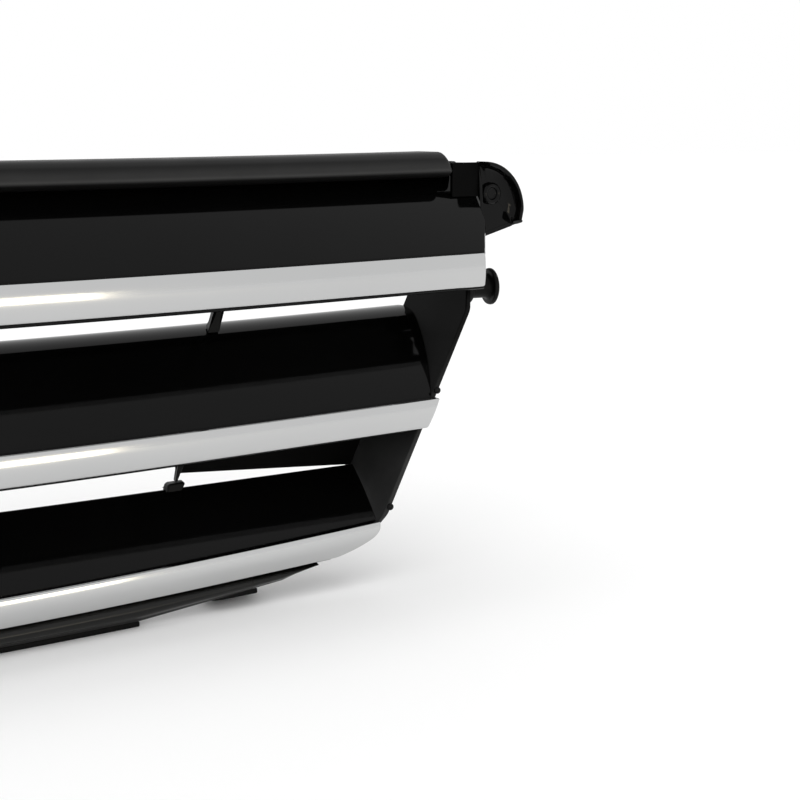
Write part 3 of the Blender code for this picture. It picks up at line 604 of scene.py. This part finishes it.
# lip, shelf and lip tabs
lipShape = {"shelfHalf": 151 * mm, "bend": 224 * mm, "end": 243 * mm, "level": 2.9 * mm,
        "climbs": (6.2 * mm, 5.0 * mm)}
shelfShape = {"front": 5.6 * mm, "back": 66 * mm, "wall": 2.5 * mm}
lipTabShape = {"inner": 186 * mm, "outer": 212 * mm, "front": 8.4 * mm, "back": 34 * mm, "drop": 3.2 * mm,
        "chamfer": 4 * mm}


def lipLow(x):
    knots = np.array([0, lipShape["shelfHalf"], lipShape["bend"], lipShape["end"]])
    level, (first, second) = lipShape["level"], lipShape["climbs"]
    return np.interp(np.abs(x), knots, [level, level, level + first, level + first + second])


def buildLip():
    # a rolled section in (depth, share of the height), carried along x; its height follows the lower edge
    corners = [(7.4, 9.0), (3.0, 9.0), (1.5, 7.4), (0.62, 5.4), (1.5, 3.2), (3.6, 1.6), (4.6, 0.0),
            (7.4, 0.0)]
    ring = rounded(np.array(corners) * mm, np.array([0.3, 1.2, 1.4, 1.6, 1.4, 1.2, 0.8, 0.4]) * mm, 7)
    x = np.unique(np.concatenate([np.linspace(-lipShape["end"], lipShape["end"], 150),
                                  [-lipShape["bend"], -lipShape["shelfHalf"], lipShape["shelfHalf"],
                                          lipShape["bend"]]]))[:, None]
    low = lipLow(x)
    high = trims["lower"]["low"] - flange["drop"] - gap + lift(x,
            louvreClimb("bottom")(flange["depth"] + wall))
    share = ring[None, :, 1] / (9.0 * mm)
    grid = place(x + 0 * share, ring[None, :, 0] + 0 * x, low + share * (high - low))
    finishPiece("bottomLipMoulding", grid, tube(grid), lipSkin, ["bottom_lip"])


def buildShelf():
    front, back, thick = shelfShape["front"], shelfShape["back"], shelfShape["wall"]
    ring = rounded([(front, 0), (front, thick), (back, thick), (back, 0)], 0.6 * mm, 5)
    bar("mountingShelfPlate", ring, lambda d, z: lipShape["shelfHalf"] + 0 * d, lambda d: 0 * d, moulded,
        "moulded_black", ["mounting_shelf"], edge=0.6 * mm)
    t = lipTabShape
    low = float(lipLow((t["inner"] + t["outer"]) / 2)) - t["drop"]
    ring = rounded([(t["front"], low), (t["front"], low + thick), (t["front"] + t["chamfer"], low + thick),
                    (t["back"], low + thick), (t["back"], low), (t["front"] + t["chamfer"], low)], 0.5 * mm,
                    5)
    for side, sign in sides.items():
        block(f"lipTab{side.title()}", ring,
              lambda d, z: sign * (t["inner"] + np.clip(t["chamfer"] - (d - t["front"]), 0, t["chamfer"])),
              lambda d, z: sign * t["outer"] + 0 * d, 0.6 * mm, moulded,
              [f"lip_tab_{side}"])


buildLip()
buildShelf()
print("stage: lip and shelf")

# posts, sockets and baffles between the louvres
postShape = {"x": 203.5 * mm, "lean": 0.33, "half": 1.6 * mm, "clear": 0.9 * mm, "knee": 7 * mm,
        "legX": 118 * mm}
postShares = {"inner": 1 / 3, "outer": 1}


def postLine(z, share):
    return share * (postShape["x"] + postShape["lean"] * (z - sidePoint["z"]))


def upright(name, ring, centre, half, sign, edge, material, stands):
    block(name, ring, lambda d, z: sign * (centre(z) - half(z)), lambda d, z: sign * (centre(z) + half(z)),
            edge, material,
          stands)


def postRing(front, back, feet, heads, levels):  # an upright outline with extra points at the levels
    up = [(front, feet[0])] + [(front, z) for z in levels] + [(front, heads[0])]
    down = [(back, heads[1])] + [(back, z) for z in reversed(levels)] + [(back, feet[1])]
    return rounded(up + down, 0.5 * mm, 4)


def buildPosts():
    clear, thin = postShape["clear"], postShape["half"]
    for side, sign in sides.items():
        for label, share in postShares.items():
            x = abs(postLine(sidePoint["z"], share))
            tag = f"{label}{side.title()}"
            node = f"{label}_{side}"
            centre = lambda z, s=share: postLine(z, s)

            # from the middle louvre's back up to the top louvre, flared at its foot
            depths = (40 * mm, 46.5 * mm)
            feet = [faceHeight("middle", d, x) + clear for d in depths]
            heads = [faceHeight("top", d, x, under=True) - clear for d in depths]
            levels = [max(feet) + step * mm for step in (1.5, 3, 5, 7)]
            knee = levels[-1]
            flare = lambda z, k=knee: thin * (1 + 0.9 * np.clip((k - z) / postShape["knee"], 0, 1) ** 2)
            upright(f"upperPost{tag}", postRing(*depths, feet, heads, levels), centre, flare, sign,
                    0.5 * mm, moulded,
                    [f"upper_post_{node}"])

            # from the socket on the bottom louvre's back edge up to the middle louvre, pointed at its foot
            path = louvrePath("bottom")
            edgeDepth = path[0][-1]
            edgeZ = path[1][-1] + lift(postLine(path[1][-1], share), louvres["bottom"]["backRise"])
            depths = (edgeDepth - 1.5 * mm, edgeDepth + 2.5 * mm)
            tip = edgeZ + 4.0 * mm
            heads = [faceHeight("middle", d, x, under=True) - clear for d in depths]
            levels = [tip + step * mm for step in (1.5, 4, 8)]
            taper = lambda z, t=tip: thin * np.clip(0.35 + 0.65 * (z - t) / (8 * mm), 0.35, 1.0)
            upright(f"middlePost{tag}", postRing(*depths, [tip, tip], heads, levels), centre, taper, sign,
                    0.35 * mm,
                    moulded, [f"middle_post_{node}"])

            # the socket, a saddle with a leg behind the edge
            base = edgeZ + 0.9 * mm
            behind = edgeDepth + wall * math.sin(math.radians(38))
            saddle = [(edgeDepth - 3.4 * mm, base - 1.2 * mm), (edgeDepth - 2.6 * mm, tip - gap),
                      (behind + 1.9 * mm, tip - gap), (behind + 3.1 * mm, base - 6 * mm),
                      (behind + 0.9 * mm, base - 6 * mm), (behind + 0.15 * mm, base)]
            ring = rounded(saddle, np.array([0.5, 0.9, 1.2, 0.8, 0.5, 0.2]) * mm, 5)
            wide = lambda z, b=base: 3.9 * mm + 0.5 * np.clip(b + 3.0 * mm - z, 0, 3.0 * mm) * (z > b)
            upright(f"postSocket{tag}", ring, centre, wide, sign, 0.8 * mm, moulded, [f"socket_{node}"])

        # a leg from the shelf up to the bottom louvre
        depths, level = (19 * mm, 24 * mm), 2.9 * mm
        heads = [faceHeight("bottom", d, postShape["legX"], under=True) - clear for d in depths]
        ring = postRing(*depths, [level, level], heads, [level + 2 * mm, level + 5 * mm])
        upright(f"lowerPost{side.title()}", ring, lambda z: postShape["legX"] + 0 * z,
                lambda z: 2.2 * mm + 0 * z, sign,
                0.5 * mm, moulded, [f"lower_post_{side}"])


def buildBaffles():
    # a thin plate from the outer post to the cheek; its lower edge falls, its upper one follows the louvre
    front = louvrePath("bottom")[0][-1] + 6.5 * mm
    back = front + 2.5 * mm
    lowIn, lowOut = trims["middle"]["low"] - 14.3 * mm, trims["middle"]["low"] - 22.9 * mm
    inner = postLine(lowIn, 1) + postShape["half"]
    share = np.linspace(0, 1, 40)[:, None]
    ring = rounded([(front, 0), (front, 1), (back, 1), (back, 0)], 0.6 * mm, 4)
    depth, top = ring[None, :, 0], ring[None, :, 1] > 0.5
    path = louvrePath("middle")
    under = np.interp(depth, path[0][14:] + wall * np.sin(path[2][14:]),
            path[1][14:] - wall * np.cos(path[2][14:]))
    flat = np.where(top, under, lowIn + (lowOut - lowIn) * share)
    x = inner + (sideLine(depth, flat) - gap - inner) * share
    z = np.where(top, under + lift(x, louvreClimb("middle")(depth)) - postShape["clear"], flat)
    for side, sign in sides.items():
        grid = place(sign * x, depth + 0 * x, z)
        # painted shade: the baffle gets the recess black
        finishPiece(f"cornerBaffle{side.title()}", grid, tube(grid), recessShadeMaterial,
                [f"corner_baffle_{side}"])


buildPosts()
buildBaffles()
print("stage: posts and baffles")

# cheeks, with the stud blocks, the locating studs and the small pins
cheekShape = {"wall": 3 * mm, "back": 52 * mm, "top": 160 * mm, "toe": 26.1 * mm, "edge": 0.7 * mm}
studShape = {"depth": 20 * mm, "z": 143.3 * mm, "shaft": 5.9 * mm, "head": 9.7 * mm, "thick": 3.2 * mm,
        "base": 342.0 * mm,
             "length": 13.6 * mm, "pad": 8.4 * mm}
cheekPinHeights = {"middle": 94.0 * mm, "lower": 37.0 * mm}


def buildCheeks():
    c = cheekShape
    front, toe = flange["depth"], c["toe"]
    corners = [
        (front, toe + 6.9 * mm), (front, sidePoint["z"]), (11 * mm, sidePoint["z"] + 12 * mm),
        (15 * mm, c["top"]),
        (c["back"] - 8 * mm, c["top"]), (c["back"], c["top"] - 10 * mm), (c["back"], 60 * mm),
        (30 * mm, toe - 6.1 * mm),
        (9 * mm, toe - 2.1 * mm),
    ]
    ring = rounded(corners, np.array([1.5, 2, 2, 1.5, 4, 4, 6, 3, 1.5]) * mm, 6)
    for side, sign in sides.items():
        # the cheeks carry the painted light of their skin
        block(f"cheekPanel{side.title()}", ring, lambda d, z: sign * sideLine(d, z),
              lambda d, z: sign * (sideLine(d, z) + c["wall"]), c["edge"], cheekPaintedLightSkin,
              [f"cheek_{side}"])


def buildCheekPins():
    radius, height = cheekShape["wall"] * 0.6, 1.4 * mm
    dome = np.linspace(0.15, 1, 8)
    profile = [(radius * math.sin(a * math.pi / 2),
            height * (0.35 + 0.65 * math.cos(a * math.pi / 2))) for a in dome]
    profile += [(radius, 0.1 * mm), (radius - 0.1 * mm, 0)]
    for row, z in cheekPinHeights.items():
        for side, sign in sides.items():
            x = sign * (sideLine(flange["depth"], z) + cheekShape["wall"] / 2)
            turned(f"cheekPin{row.title()}{side.title()}", profile, place(x, flange["depth"] - 2 * gap, z),
                    (0, -1, 0), gloss,
                   [f"cheek_pin_{row}_{side}"], steps=20)


def buildStuds():
    s = studShape
    turn = np.linspace(0, math.tau, 40, endpoint=False)
    pad = np.stack([s["depth"] + s["pad"] * np.cos(turn), s["z"] + s["pad"] * np.sin(turn)], -1)
    neck = s["length"] - s["thick"]
    corners = [(s["shaft"] - 0.3 * mm, 0), (s["shaft"], 0.3 * mm), (s["shaft"], neck - 1.2 * mm),
            (s["shaft"] + 1.2 * mm, neck),
               (s["head"] - 0.4 * mm, neck + 0.2 * mm), (s["head"], neck + 1.2 * mm),
               (s["head"], s["length"] - 0.9 * mm),
               (s["head"] - 1.3 * mm, s["length"]), (2.6 * mm, s["length"]),
               (2.2 * mm, s["length"] - 0.5 * mm),
               (0.6 * mm, s["length"] - 0.5 * mm)]
    for side, sign in sides.items():
        block(f"studBlock{side.title()}", pad, lambda d,
                z: sign * (sideLine(d, z) + cheekShape["wall"] + gap),
              lambda d, z: sign * s["base"] + 0 * d, 0.5 * mm, moulded,
              [f"stud_block_{side}"])
        base = place(sign * (s["base"] + 2 * gap), s["depth"], s["z"])
        turned(f"locatingStud{side.title()}", bent(corners, 0.5 * mm), base, (sign, 0, 0), moulded,
               [f"locating_stud_{side}"], steps=48)


buildCheeks()
buildCheekPins()
buildStuds()
print("stage: cheeks and studs")

# ears: a dished plate with a rim, a blind bush in its hole and a wall behind it
earShape = {"inner": 351.8 * mm, "outer": 378.0 * mm, "top": 208.4 * mm, "corner": 177.03 * mm,
        "front": 19 * mm,
            "back": 30 * mm, "wall": 3 * mm, "heel": (356.5 * mm, 169.0 * mm), "stemLow": 154 * mm,
            "stemInner": 342.3 * mm,
            "shoulder": 179.4 * mm}
earHole = {"x": 359.5 * mm, "z": 191.5 * mm, "radius": 3.6 * mm}
bushShape = {"outer": 5.8 * mm, "bore": 3.0 * mm, "height": 2.4 * mm, "floor": 0.8 * mm}


def earOutline(count=160):
    # the ear from the front, evenly sampled: straight inner side, quarter-round shoulder, slanted foot
    e = earShape
    radius = e["outer"] - e["inner"] - 0.4 * mm
    turn = np.linspace(math.pi / 2, 0, 24)
    arc = np.stack([e["outer"] - radius + radius * np.cos(turn), e["top"] - radius + radius * np.sin(turn)],
            -1)
    foot = rounded([(e["outer"], e["corner"]), (e["outer"] - 3 * mm, e["corner"] - 3 * mm), e["heel"],
                    (e["inner"], 167.8 * mm)], np.array([1.4, 1.6, 1.0, 0.6]) * mm, 6)
    ring = np.concatenate([rounded([(e["inner"], e["top"]), (e["outer"], e["top"]), (e["inner"], 0)],
            0.6 * mm, 5)[:5], arc, foot])
    closed = np.concatenate([ring, ring[:1]])
    length = np.append(0, np.cumsum(np.linalg.norm(np.diff(closed, axis=0), axis=1)))
    even = np.linspace(0, length[-1], count, endpoint=False)
    return np.stack([np.interp(even, length, closed[:, k]) for k in (0, 1)], -1)


def buildEars():
    e = earShape
    outline = earOutline()
    centre = np.array([earHole["x"], earHole["z"]])
    toward = outline - centre
    angle = np.arctan2(toward[:, 1], toward[:, 0])
    hole = centre + earHole["radius"] * np.stack([np.cos(angle), np.sin(angle)], -1)
    length = np.linalg.norm(outline - hole, axis=1)[:, None]
    # the rim stands along the top and the outer side, and dies out round the two corners
    x, z = outline[:, 0], outline[:, 1]
    rim = np.clip((x - e["inner"]) / (2.5 * mm), 0, 1) * np.clip((z - e["corner"] + 2.5 * mm) / (1.5 * mm),
            0, 1)
    rim = (0.02 + 0.98 * rim**0.7)[:, None]
    floor, back, thick = e["back"] - e["wall"], e["back"], 2.2 * mm
    tall = (floor - e["front"]) * rim
    # each strip: (inset from the outline, depth), from the hole's front edge round the rim to its back edge
    bend = np.linspace(0, math.pi / 2, 5)[None]
    dish = np.minimum(7.5 * mm, length - thick - 2.6 * mm) * rim
    fillet = np.stack([np.broadcast_to(thick + dish * (1 - np.sin(bend)), (len(x), 5)),
            floor - dish * 0.55 * (1 - np.cos(bend))], -1)
    innerTop = np.stack([thick + 0 * x, floor - tall[:, 0] + 0.6 * mm * rim[:, 0]], -1)[:, None]
    crest = np.stack([thick / 2 * (1 + np.cos(bend * 2)) + 0 * tall,
            floor - tall + 0.6 * mm * rim * (1 - np.sin(bend * 2))], -1)
    lower = np.stack([0.6 * mm * (1 - np.cos(bend)) + 0 * tall,
            back - 0.6 * mm * (1 - np.sin(bend)) + 0 * tall], -1)
    section = np.concatenate([fillet, innerTop, crest, lower], 1)
    share = 1 - section[..., 0] / length
    edge = np.stack([0.4 * mm * (1 - np.sin(bend)) + 0 * tall,
            back - 0.4 * mm * (1 - np.cos(bend)) + 0 * tall], -1)
    mouth = np.stack([0.4 * mm * (1 - np.cos(bend)) + 0 * tall,
            floor + 0.4 * mm * (1 - np.sin(bend)) + 0 * tall], -1)
    nearHole = np.concatenate([edge, mouth], 1)
    share = np.concatenate([share, nearHole[..., 0] / length], 1)[..., None]
    depth = np.concatenate([section[..., 1], nearHole[..., 1]], 1)
    flat = hole[:, None] + (outline - hole)[:, None] * share
    stem = rounded([(floor + 0.3 * mm, e["stemLow"]), (floor + 0.3 * mm, e["shoulder"]),
            (back - 0.2 * mm, e["shoulder"]),
                    (back - 0.2 * mm, e["stemLow"])], 0.5 * mm, 4)
    # a web in front of the rail's lug, from the rail's end to the ear, down to the top louvre
    webFront, webBack, webInner = 26.8 * mm, 29.6 * mm, 335.0 * mm
    feet = [faceHeight("top", d, e["inner"]) + 0.7 * mm for d in (webFront, webBack)]
    web = rounded([(webFront, feet[0]), (webFront, e["top"] - 0.5 * mm), (webBack, e["top"] - 0.5 * mm),
            (webBack, feet[1])],
                  0.7 * mm, 5)
    for side, sign in sides.items():
        grid = place(sign * flat[..., 0], depth, flat[..., 1])
        webGrid = blockGrid(web, lambda d, z: sign * webInner + 0 * d, lambda d,
                z: sign * (e["inner"] + 0.6 * mm) + 0 * d, 0.3 * mm)
        stemGrid = blockGrid(stem, lambda d, z: sign * e["stemInner"] + 0 * d,
                             lambda d, z: sign * np.where(z > 168.4 * mm, e["inner"] + 1 * mm,
                                     e["heel"][0]) + 0 * d, 0.5 * mm)
        faces = loop(grid)
        points = grid.reshape(-1, 3)
        for extra in (stemGrid, webGrid):
            shellFaces = len(faces)
            faces += [tuple(v + len(points) for v in face) for face in plug(extra)]
            points = np.concatenate([points, extra.reshape(-1, 3)])
        piece = finishPiece(f"earShell{side.title()}", points, faces, gloss, [f"ear_{side}"])
        piece.data.materials.append(recessShadeMaterial)  # the web gets the recess black, whose turned-down reflection is painted shade
        piece.data.polygons.foreach_set("material_index",
                (np.arange(len(faces)) >= shellFaces).astype(np.int32))


def buildBushes():
    b = bushShape
    corners = [(b["bore"] * 0.6, b["floor"]), (b["bore"], b["floor"] + 0.2 * mm),
            (b["bore"], b["height"] - 0.6 * mm),
               (b["bore"] + 0.9 * mm, b["height"]), (b["outer"] - 0.9 * mm, b["height"]),
               (b["outer"], b["height"] - 0.9 * mm),
               (b["outer"], 0.2 * mm), (b["outer"] - 0.2 * mm, 0)]
    for side, sign in sides.items():
        x = sign * earHole["x"]
        backward = np.array([-bowSlope(x), 1, 0]) / math.hypot(bowSlope(x), 1)
        seat = place(x, earShape["back"] - earShape["wall"], earHole["z"]) - backward * (gap + 0.1 * mm)
        turned(f"earBush{side.title()}", bent(corners, 0.6 * mm), seat, -backward, gloss,
                [f"ear_bush_{side}"], steps=48)


def buildEndWalls():
    front, back, top = earShape["back"] + gap, 59 * mm, earShape["top"] - 1 * mm
    ring = rounded([(front, earShape["corner"]), (front, top), (back, top), (back, 191.4 * mm)],
            np.array([1, 1.5, 4, 4]) * mm, 6)
    for side, sign in sides.items():
        block(f"endWall{side.title()}", ring, lambda d, z: sign * earShape["inner"] + 0 * d,
              lambda d, z: sign * (earShape["inner"] + cheekShape["wall"]) + 0 * d, 0.8 * mm, gloss,
              [f"end_wall_{side}"])


buildEars()
buildBushes()
buildEndWalls()
print("stage: ears")

# push pins that hold the trims
pinShape = {"shank": 1.5 * mm, "head": 3.4 * mm, "thick": 1.6 * mm, "reach": 3.0 * mm,
        "places": (-228 * mm, -76 * mm, 76 * mm, 228 * mm)}


def buildPins():
    p = pinShape
    length = p["reach"] + wall + gap + p["thick"]
    corners = [(p["shank"] * 0.4, 0), (p["shank"], 0.8 * mm), (p["shank"], length - p["thick"]),
            (p["head"], length - p["thick"]),
               (p["head"], length - p["thick"] * 0.5), (p["head"] * 0.7, length), (p["head"] * 0.3, length)]
    for row, shape in louvres.items():
        trim = trims[shape["trim"]]
        for number, x in enumerate(p["places"], 1):
            z = (trim["low"] + trim["high"]) / 2 + lift(x, trim["rise"])
            turned(f"trimPin{row.title()}{number}", bent(corners, 0.3 * mm, 4),
                    place(x, flange["depth"] - p["reach"], z),
                   (-bowSlope(x), 1, 0), moulded, [f"trim_pin_{row}_{number}"], steps=20)


buildPins()
print("stage: pins")

# floor, light and camera
stageLook = {"floor": 0.95, "tent": 1.0, "sun": 0.40}


def addFloor():
    size = 12.0
    mesh = bpy.data.meshes.new("floor")
    mesh.from_pydata([(-size, -size, 0), (size, -size, 0), (size, size, 0), (-size, size, 0)], [],
            [(0, 1, 2, 3)])
    floor = bpy.data.objects.new("floor", mesh)
    bpy.context.scene.collection.objects.link(floor)
    made, _, shader = newMaterial("paleFloor")
    shader.inputs["Base Color"].default_value = (stageLook["floor"],) * 3 + (1,)
    shader.inputs["Roughness"].default_value = 0.9
    shader.inputs["Specular IOR Level"].default_value = 0.1
    mesh.materials.append(made)


def addWorld():  # the same white all round, like a light tent
    world = bpy.data.worlds.new("studio")
    world.use_nodes = True
    world.node_tree.nodes["Background"].inputs["Color"].default_value = (1, 1, 1, 1)
    world.node_tree.nodes["Background"].inputs["Strength"].default_value = stageLook["tent"]
    bpy.context.scene.world = world


def addSun():  # a very soft light from overhead that keeps the whole floor white
    data = bpy.data.lights.new("overhead", "SUN")
    data.energy = stageLook["sun"]
    data.angle = math.radians(70)
    lamp = bpy.data.objects.new("overhead", data)
    bpy.context.scene.collection.objects.link(lamp)
    lamp.visible_glossy = False


def addLight(name, power, size, spot, target, colour=(1, 1, 1)):
    data = bpy.data.lights.new(name, "AREA")
    data.energy = power
    data.shape = "RECTANGLE"
    data.size, data.size_y = size
    data.color = colour
    lamp = bpy.data.objects.new(name, data)
    bpy.context.scene.collection.objects.link(lamp)
    lamp.location = spot
    lamp.rotation_euler = (Vector(target) - Vector(spot)).to_track_quat("-Z", "Y").to_euler()
    lamp.visible_camera = False


addFloor()
addWorld()
bpy.context.scene.view_settings.view_transform = "Standard"
addSun()
addLight("frontPanel", 2.2, (0.58, 0.30), (0.64, -1.5, 0.065), (0.12, 0.0, 0.1), (1.0, 0.89, 0.66))

camera = bpy.data.objects.new("camera", bpy.data.cameras.new("camera"))
bpy.context.scene.collection.objects.link(camera)
camera.data.lens = 63.0
camera.data.sensor_width = 36.0
camera.location = (0.01630, -0.58796 - 0.027, 0.22304)
camera.rotation_euler = (math.radians(79.2), 0, math.radians(-23.5))
bpy.context.scene.camera = camera
print("stage: floor, light and camera")
